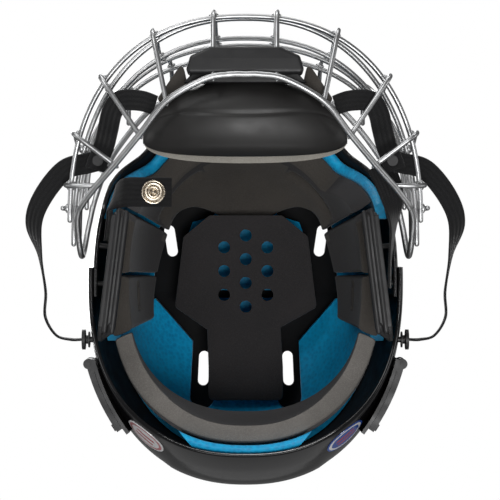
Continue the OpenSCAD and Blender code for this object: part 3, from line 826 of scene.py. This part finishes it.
def convex_outline(points):
    """The outline round a set of points in a plane."""
    points = sorted(map(tuple, points))

    def chain(ordered):
        kept = []
        for p in ordered:
            while len(kept) > 1:
                (ax, ay), (bx, by) = kept[-2], kept[-1]
                if (bx - ax) * (p[1] - ay) - (by - ay) * (p[0] - ax) > 0:
                    break
                kept.pop()
            kept.append(p)
        return kept[:-1]
    return np.array(chain(points) + chain(points[::-1]))


def circle(middle, radius, steps=32):
    a = np.radians(np.arange(steps) * 360 / steps)
    return np.column_stack([middle[0] + radius * np.cos(a), middle[1] + radius * np.sin(a)])


def plate(loops, thick, bevel):
    """A flat plate with holes and rounded edges. Its points are (u, v, w), with w through the plate."""
    data = bpy.data.curves.new("plate", "CURVE")
    data.dimensions = "2D"
    data.fill_mode = "BOTH"
    data.extrude = thick / 2 - bevel
    data.bevel_depth = bevel
    data.bevel_resolution = 3
    data.offset = -bevel
    for loop in loops:
        line = data.splines.new("POLY")
        line.points.add(len(loop) - 1)
        for point, (u, v) in zip(line.points, loop):
            point.co = (u, v, 0, 1)
        line.use_cyclic_u = True
    holder = bpy.data.objects.new("plate", data)
    scene.collection.objects.link(holder)
    mesh = bpy.data.meshes.new_from_object(holder.evaluated_get(bpy.context.evaluated_depsgraph_get()))
    bpy.data.objects.remove(holder)
    form = bmesh.new()
    form.from_mesh(mesh)
    bmesh.ops.remove_doubles(form, verts=form.verts, dist=0.001)
    return form


def take(form):
    """The points and faces of a bmesh, which is freed."""
    form.verts.index_update()
    points = np.array([v.co for v in form.verts])
    faces = [tuple(v.index for v in f.verts) for f in form.faces]
    form.free()
    return points, faces


def slice_up(form, step, reach):
    """Cuts a plate's wide faces into strips, so that it can be curved."""
    for axis in (0, 1):
        for place in np.arange(-reach, reach + 0.1, step) + 0.37:
            at, normal = [0, 0, 0], [0, 0, 0]
            at[axis], normal[axis] = place, 1
            everything = form.verts[:] + form.edges[:] + form.faces[:]
            bmesh.ops.bisect_plane(form, geom=everything, plane_co=at, plane_no=normal, dist=1e-4)


CROWN_OUTLINE = [(26, -22), (43, -8), (49, 41), (22, 56), (24, 88), (24, 109)]
CROWN_ROUND = 4


def add_crown_pad():
    half = np.array(CROWN_OUTLINE, float)
    corners = np.vstack([half, (half * [-1, 1])[::-1]])
    outline = rounded_outline(corners, CROWN_ROUND)
    holes = [circle((0, -11 + 17.9 * i), 4.5, 28) for i in range(4)]
    holes += [circle((16.3 * s, -2 + 17.9 * i), 4.5, 28) for s in (1, -1) for i in range(3)]
    form = plate([outline] + holes, 9, 1.2)
    slice_up(form, 7, 105)
    points, faces = take(form)
    r = np.hypot(points[:, 0] / 60, (points[:, 1] - 15) / 90)
    points[:, 2] += 204.5 + 2.5 * (1 - np.minimum(r, 1.2) ** 2)
    pad = add_mesh("crown_pad_foam", points, faces, sharp=60)
    dress(pad, "helmet", "pad_foam", PAD, PAD_UNDERSIDE_CUT_AND_PAINTED_LIGHT, replaces=["crown_pad"])


def rounded_outline(corners, radius, steps=6):
    """A polygon grown by a radius, with arcs at its outer corners."""
    out = []
    count = len(corners)
    for i in range(count):
        a, b, c = corners[i - 1], corners[i], corners[(i + 1) % count]
        before, after = unit(b - a), unit(c - b)
        turn = before[0] * after[1] - before[1] * after[0]
        from_a = math.atan2(-before[0], before[1])
        to_a = math.atan2(-after[0], after[1])
        if turn > 0:
            while to_a < from_a:
                to_a += 2 * math.pi
            for s in np.linspace(from_a, to_a, steps):
                out.append(b + radius * np.array([math.cos(s), math.sin(s)]))
        else:
            out.append(b + radius * unit(np.array([before[1] + after[1], -before[0] - after[0]]))
                       / max(0.5, math.cos((to_a - from_a) / 2)))
    return np.array(out)


# ---------- ear guards ----------
GUARD_X, GUARD_T = 95.5, 3.0
GUARD_TOE_IN = 7
# The bead that turns up the rear corner of a guard
GUARD_CORNER = [(90, 50, 46.5), (91, 54, 48), (94, 57, 52), (97, 57, 60), (97, 55, 68)]


def guard_parts():
    outline = convex_outline(np.vstack([circle((-16, 64), 10), circle((-16, 82), 10), circle((50, 60), 12),
                                        circle((52, 86), 10)]))
    ear_hole = convex_outline(np.vstack([circle((18, 68), 9), circle((32, 68), 9)]))
    points, faces = take(plate([outline, ear_hole], GUARD_T, 0.9))
    wall = np.column_stack([points[:, 2] + GUARD_X + GUARD_T / 2, points[:, 0], points[:, 1]])
    inside, outside = GUARD_X - 8.5, GUARD_X + GUARD_T
    foot = np.array([(inside, -24), (outside, -24), (outside, 52), (inside, 52)])
    base, base_faces = take(plate([foot], 4, 0.8))
    base[:, 2] += 48
    parts = [(wall, faces), (base, base_faces)]
    for x in (GUARD_X - 6.5, GUARD_X - 1.5):
        parts.append(round_tube([[x, y, 46] for y in np.linspace(-26, 54, 16)], 1.8, 20))
    parts.append(round_tube(smooth_path(GUARD_CORNER, 5), 2.2, 16))
    return parts


def toed_in(points):
    """Turns a guard in towards the cheek about its rear end."""
    a = math.radians(-GUARD_TOE_IN)
    turn = np.array([[math.cos(a), -math.sin(a), 0], [math.sin(a), math.cos(a), 0], [0, 0, 1]])
    pivot = np.array([GUARD_X, 52, 0])
    return (points - pivot) @ turn.T + pivot


def add_ear_guards():
    for name, side in (("left", 1), ("right", -1)):
        points, faces = joined(guard_parts())
        made = toed_in(points), faces
        guard = add_mesh(f"ear_guard_{name}_moulded", *on_side(made, side), sharp=50)
        dress(guard, "helmet", "trim", TRIM, replaces=[f"ear_guard_{name}"])


# ---------- webbing ----------
def webbing(route, width, thick, steps=10):
    """Points, faces and weave distances of flat webbing along a route of (x, y, z, roll)."""
    route = np.asarray(route, float)
    smooth = smooth_path(route, steps)
    path, roll = smooth[:, :3], np.radians(smooth[:, 3])
    along = tangents(path)
    side = unit(np.cross(along, [0, 0, 1]))
    up = np.cross(side, along)
    wide = side * np.cos(roll)[:, None] + up * np.sin(roll)[:, None]
    through = np.cross(along, wide)
    u = np.sin(np.radians(np.linspace(-90, 90, 17)))
    h = np.sqrt(np.maximum(0, 1 - np.abs(u) ** 5))
    across = np.concatenate([u, u[-2:0:-1]])
    high = np.concatenate([h, -h[-2:0:-1]])
    rings = [p + w * (width / 2 * across)[:, None] + n * (thick / 2 * high)[:, None]
             for p, w, n in zip(path, wide, through)]
    far = np.concatenate([[0], np.cumsum(np.linalg.norm(np.diff(path, axis=0), axis=1))])
    points, faces = skin(rings)
    return points, faces, np.tile(across * width / 2, len(path)), np.repeat(far, len(across))


def add_webbing(name, route, size, side, material):
    points, faces, across, along = webbing(route, *size)
    strap = add_mesh(name, *on_side((points, faces), side), sharp=60)
    add_float(strap, "across", across * MM)
    add_float(strap, "along", along * MM)
    strap.data.materials.append(material)
    return strap


CHIN_RIGHT = [(-94.2, -6, 71, 97), (-92.6, -20, 71, 97), (-92, -30, 70, 90), (-87, -36.5, 64, 45),
              (-80, -39, 58, 8), (-66, -39, 56, 0), (-50, -39, 61, 0)]
CHIN_LEFT = [(91, -58, 68, 0), (97, -46, 68, 6), (100.6, -32, 69, 35), (100.8, -16, 70, 72),
             (98.8, 6, 71.5, 82), (98.3, 26, 71.5, 83)]
CUP_ROUTE = [(59, -95, 24, 20), (69, -98, 23, 10), (82, -98, 26, 0), (88, -91, 32, 0), (91.5, -80, 42, 0),
             (94.3, -71.5, 51, 0), (96.5, -66, 53.4, 0), (99, -60, 53.5, 0), (101, -54, 53.5, 0)]
SIDE_ROUTE = [(94, -61.5, 57, 0), (106, -58.5, 57, 0), (122, -54, 59, 0), (137, -36, 61, 10),
              (143.5, -18, 64, 30), (140, 4, 70, 75), (137, 28, 78, 85), (138, 46, 86, 85), (131, 59, 91, 85),
              (121, 62, 92, 90), (113.2, 62, 92, 90)]
# Width and thickness of each kind of webbing
CHIN_RIGHT_TAPE, CHIN_LEFT_TAPE, NARROW_TAPE = (20, 2), (18, 2), (14, 1.8)


def add_straps():
    strap = add_webbing("chin_strap_right_tape", CHIN_RIGHT, CHIN_RIGHT_TAPE, 1, TAPE)
    dress(strap, "helmet", "webbing", TAPE, replaces=["chin_strap_right"])
    strap = add_webbing("chin_strap_left_tape", CHIN_LEFT, CHIN_LEFT_TAPE, 1, WIDE_TAPE)
    dress(strap, "helmet", "webbing", WIDE_TAPE, replaces=["chin_strap_left"])
    for name, side in (("left", 1), ("right", -1)):
        strap = add_webbing(f"cup_strap_{name}_tape", CUP_ROUTE, NARROW_TAPE, side, TAPE)
        dress(strap, "cage", "webbing", TAPE, replaces=[f"cup_strap_{name}"])
        strap = add_webbing(f"side_strap_{name}_tape", SIDE_ROUTE, NARROW_TAPE, side, TAPE)
        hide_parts(f"side_strap_{name}")
        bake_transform(strap)


# ---------- cage ----------
CAGE_N = 2.3
# Cross wires from the chin up: height, front, half width, rear end, rise at the sides
CROSS = [(36, -155, 118, -20, 18), (64, -157, 116.5, -4, 2), (98, -147.5, 115.5, -10, 0),
         (126, -145.5, 113, -30, 0), (152, -139.5, 105, -58, 0)]
# Frame wire from the chin round the jaw and up the temple to the hinge bar
FRAME = [(0.2, -113, 0), (9, -113, 0), (26, -110, 0), (51, -96, 4), (69, -75, 14), (86, -56, 27),
         (102, -39, 40), (112, -25, 51), (113, -10, 62), (112, 3, 72), (111.5, 1, 86), (110, -18, 110),
         (106.5, -40, 134), (97, -68, 157), (76, -98, 174), (60, -110.5, 179.2), (54, -112.8, 180),
         (48.2, -113, 180)]
# Uprights from the middle out: share of the cross wires' width, upper end, place on the frame
UPRIGHTS = [(0.175, (20, -117, 182), (20.5, -111.5, 4.2)), (0.506, (54, -117.4, 180), (51, -96, 8.4)),
            (0.786, (86, -93, 170), (69, -75, 18.2)), (0.938, (104, -68, 157), (86, -56, 31.2))]
# Wires on the jaw: place along the helmet, lower end, number of cross wires that it passes
JAW = [(-43.6, [(98, -43, 41.8), (116, -42.8, 43)], 4), (-28, [(121.8, -28, 45)], 3)]
TOP_WIRE_Z = 140


def cross_point(wire, a):
    z, front, half, rear, rise = wire
    s, c = math.sin(math.radians(a)), math.cos(math.radians(a))
    x = half * np.sign(s) * abs(s) ** (2 / CAGE_N)
    y = rear - (rear - front) * abs(c) ** (2 / CAGE_N)
    return np.array([x, y, z + rise * abs(s) ** 4])


def front_of(wire, share):
    a = math.degrees(math.asin(share ** (CAGE_N / 2)))
    t = unit(cross_point(wire, a + 0.5) - cross_point(wire, a - 0.5))
    clear = WIRE_D + (1.1 if wire[0] > TOP_WIRE_Z else 0.15)
    return cross_point(wire, a) + clear * unit(np.array([t[1], -t[0], 0])), cross_point(wire, a), t


def welds(crossings):
    """Beads of weld where an upright lies on the cross wires."""
    return [bead(on + (off - on) * 0.5, along, 6.4, 3.2) for off, on, along in crossings]


def upright_parts(share, top, foot):
    crossings = [front_of(wire, share) for wire in CROSS]
    p = crossings[0][0]
    bend = np.array([p[0] * 0.985, p[1] * 0.975, p[2] - 18])
    foot = np.array(foot)
    points = [np.array(top)] + [c[0] for c in crossings[::-1]]
    points += [bend, lerp(bend, foot, 0.5) - [0, 0, 1], foot]
    frame_bead = bead(foot - [0, 0, 1.9], foot - bend, 6.5, 3.4)
    return [round_tube(smooth_path(points, 8), WIRE_D / 2)] + welds(crossings) + [frame_bead]


def jaw_parts(y, start, count):
    points, crossings = [np.array(p, float) for p in start], []
    for wire in CROSS[:count]:
        s = (wire[3] - y) / (wire[3] - wire[1])
        a = math.degrees(math.acos(s ** (CAGE_N / 2)))
        on = cross_point(wire, a)
        off = on + [WIRE_D + 0.15, 0, 0]
        points.append(off)
        crossings.append((off, on, unit(cross_point(wire, a + 0.5) - cross_point(wire, a - 0.5))))
    return [round_tube(smooth_path(points, 8), WIRE_D / 2)] + welds(crossings)


def add_cage_piece(name, node, parts):
    piece = add_mesh(name, *joined(parts), sharp=60)
    return dress(piece, "cage", "wire", WIRE, replaces=[node])


def both(parts):
    return [on_side(made, side) for side in (1, -1) for made in parts]


def add_cage():
    for name, side in (("left", 1), ("right", -1)):
        tube = round_tube(smooth_path(FRAME, 8), RIM_D / 2, 16)
        add_cage_piece(f"cage_frame_{name}_wire", f"cage_frame_{name}", [on_side(tube, side)])
    for number, wire in enumerate(CROSS, 1):
        path = np.array([cross_point(wire, a) for a in np.linspace(-90, 90, 121)])
        add_cage_piece(f"cross_wire_{number}_drawn", f"cross_wire_{number}", [round_tube(path, WIRE_D / 2)])
    pairs = [upright_parts(*upright) for upright in UPRIGHTS] + [jaw_parts(*jaw) for jaw in JAW]
    for number, parts in enumerate(pairs, 1):
        add_cage_piece(f"upright_pair_{number}_welded", f"upright_pair_{number}", both(parts))


# ---------- chin cup ----------
CUP_HALF = 68.5
CUP_AXIS = np.array([-80.0, 36.0])
CUP_PROFILE = [(-60, 22), (-68, 12.5), (-82, 7.5), (-98, 8.5), (-110, 17), (-114, 32), (-112, 46)]
LINING_EDGE = (-55.2, 26.6)


def cup_grid(rows, sides, depth):
    """Points of the cup at a depth under its outside. Depth may be a grid."""
    s = np.sin(np.radians(sides))[None, :]
    p = rows[:, None, :2]
    d = p - CUP_AXIS
    far = np.linalg.norm(d, axis=-1)
    c = np.maximum(0.16, np.sqrt(1 - np.minimum(s * s, 1)))
    q = CUP_AXIS + d * (c * (1 - depth / far))[..., None]
    x = CUP_HALF * s * (1 - depth / 150)
    return np.stack([x + 0 * q[..., 0], q[..., 0] + 7 * s * s, q[..., 1]], axis=-1)


def cup_lining(rows, sides):
    """The felt inside the cup, whose edge laps over the rear rim."""
    s = np.linspace(0, 1, 8)[:-1, None]
    lap = lerp(np.array([*LINING_EDGE, 0]), rows[0], s)
    depth = np.concatenate([1 + 5.3 * ease(0, 1, s), np.full((len(rows), 1), 6.3)])
    rows = np.vstack([lap, rows])
    return pillow(cup_grid(rows, sides, depth + 2.4), cup_grid(rows, sides, depth), 1.2, 2.4)


def add_chin_cup():
    rows = smooth_path([(y, z, 0) for y, z in CUP_PROFILE], 16)
    sides = 90 * np.sin(np.radians(np.linspace(-90, 90, 121)))
    share = np.linspace(0, 1, len(rows))[:, None]
    x = np.sin(np.radians(sides))[None, :]
    crease = np.exp(-((share - 0.4 - 0.2 * x * x) / 0.013) ** 2) * (1 - ease(0.86, 0.97, np.abs(x)))
    outer = cup_grid(rows, sides, 0.8 * crease)
    inner = cup_grid(rows, sides, 6 + 0 * crease)
    cup = add_mesh("chin_cup_moulded", *pillow(inner, outer, 3, 2.4), sharp=60)
    dress(cup, "cage", "cup", CUP, replaces=["chin_cup"])
    pad = add_mesh("chin_cup_lining_felt", *cup_lining(rows, sides), sharp=60)
    dress(pad, "cage", "cup_lining", LINING, replaces=["chin_cup_lining"])


# Outline of one half of the band, and of the block that holds it on the cup
BAND_HALF = [(35, -117), (33, -123.5), (22, -128.5)]
BAND_BACKING = [(-30, -120), (30, -120), (40, -109), (-40, -109)]
WING_CORNERS = [(40, -109), (42, -118), (55, -99)]


def add_chin_band():
    half = np.array(BAND_HALF, float)
    outline = rounded_outline(np.vstack([(half * [-1, 1]), half[::-1]]), 3)
    points, faces = take(plate([outline], 22, 2.2))
    points[:, 2] += 14
    held, held_faces = take(plate([BAND_BACKING], 13, 1.2))
    held[:, 2] += 18.5
    band = add_mesh("chin_cup_band_moulded", *joined([(points, faces), (held, held_faces)]), sharp=50)
    dress(band, "cage", "cup", TRIM, replaces=["chin_cup_band"])
    wing = convex_outline(np.vstack([circle(corner, 2) for corner in WING_CORNERS]))
    points, faces = take(plate([wing], 18, 1.0))
    points[:, 2] += 27
    wings = add_mesh("chin_cup_wings_foam", *joined(both([(points, faces)])), sharp=50)
    dress(wings, "cage", "pad_foam", PAD, PAD_UNDERSIDE_CUT_AND_PAINTED_LIGHT, replaces=["chin_cup_wings"])
    paint_lit_underside(wings)


# ---------- snap, decals and hardware ----------
def turned(place, axis_x, axis_z):
    """A placing matrix from a point, an x direction and a z direction."""
    z = unit(np.array(axis_z, float))
    x = unit(np.array(axis_x, float) - z * (np.array(axis_x, float) @ z))
    made = np.eye(4)
    made[:3, 0], made[:3, 1], made[:3, 2], made[:3, 3] = x, np.cross(z, x), z, place
    return made


# Radius and height along the face of the snap: its rolled rim, the dish, the socket's ring and its middle
SNAP_PROFILE = [(0.05, 0.0), (8.1, 0.0), (8.25, 0.3), (8.25, 0.8), (8.0, 1.3), (7.5, 1.5), (7.0, 1.35),
                (6.6, 0.9), (6.2, 0.55), (5.4, 0.5), (4.6, 0.55), (4.25, 0.9), (4.1, 1.6), (3.95, 2.6),
                (3.7, 2.95), (3.3, 3.05), (2.8, 2.95), (2.5, 2.6), (2.3, 1.6), (1.9, 1.0), (1.2, 0.75),
                (0.6, 1.0), (0.05, 1.15)]


def add_chin_snap():
    lean = math.radians(8)
    place = turned((-62, -39, 55.2), (1, 0, 0), (math.sin(lean), 0, -math.cos(lean)))
    snap = add_mesh("chin_snap_turned", *lathe(SNAP_PROFILE, place), sharp=40)
    dress(snap, "helmet", "steel", STEEL, replaces=["chin_snap"])


DECAL_OFF = -REAR_GAP - SHELL_T - 0.7
# Middle and half size of a decal, as a direction in degrees and a height
DECAL_MIDDLE, DECAL_HALF = (57, 80), (7, 12)


def decal(side):
    """A thin oval that follows the rear shell: points, faces and its own flat coordinates."""
    rings, steps = 9, 48
    r = np.linspace(0.02, 1, rings)[:, None]
    a = np.radians(np.arange(steps) * 360 / steps)[None, :]
    u, v = r * np.cos(a), r * np.sin(a)
    t, z = DECAL_MIDDLE[0] + DECAL_HALF[0] * u, DECAL_MIDDLE[1] + DECAL_HALF[1] * v
    outside, inside = dome(t, z, DECAL_OFF + 0.2), dome(t, z, DECAL_OFF + 0.6)
    grid = np.concatenate([outside, inside[::-1]])
    points, faces = skin(grid)
    return on_side((points, faces), side), np.concatenate([u, u[::-1]]), np.concatenate([v, v[::-1]])


def add_decals():
    white, red, blue = (0.75, 0.75, 0.76), (0.42, 0.03, 0.04), (0.03, 0.09, 0.38)
    looks = [("left", 1, decal_look("decal_dark", (blue, (0.025, 0.07, 0.3)), white, red)),
             ("right", -1, decal_look("decal_white", (white, (0.66, 0.66, 0.67)), (0.45, 0.16, 0.17), red))]
    for name, side, material in looks:
        made, u, v = decal(side)
        sticker = add_mesh(f"shell_decal_{name}", *made, sharp=40)
        add_float(sticker, "across", u * side)
        add_float(sticker, "along", v)
        replaced = ["shell_decals"] if side > 0 else []
        dress(sticker, "rear_section", "decal", material, replaces=replaced)


def dress_cad_nodes():
    in_steel = ["hinge_clip_screws", "visor_inserts"]
    in_trim = ["ear_guard_screws", "hinge_clip_left", "hinge_clip_right", "strap_studs", "strap_rivets",
               "adjuster_base_left", "adjuster_base_right", "adjuster_pins", "adjuster_lever_left",
               "adjuster_lever_right", "snap_socket_left", "snap_socket_right"]
    looks = {name: STEEL for name in in_steel} | {name: TRIM for name in in_trim} | {"hinge_bar": WIRE}
    for name, material in looks.items():
        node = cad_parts[name]
        node.data.materials.clear()
        node.data.materials.append(material)


add_camera()
add_world()
add_lights()
add_floor()
add_shells()
add_liners()
add_dome_pads()
add_crown_pad()
add_ear_guards()
add_straps()
add_cage()
add_chin_cup()
add_chin_band()
add_chin_snap()
add_decals()
dress_cad_nodes()
scene.view_settings.view_transform = "Standard"
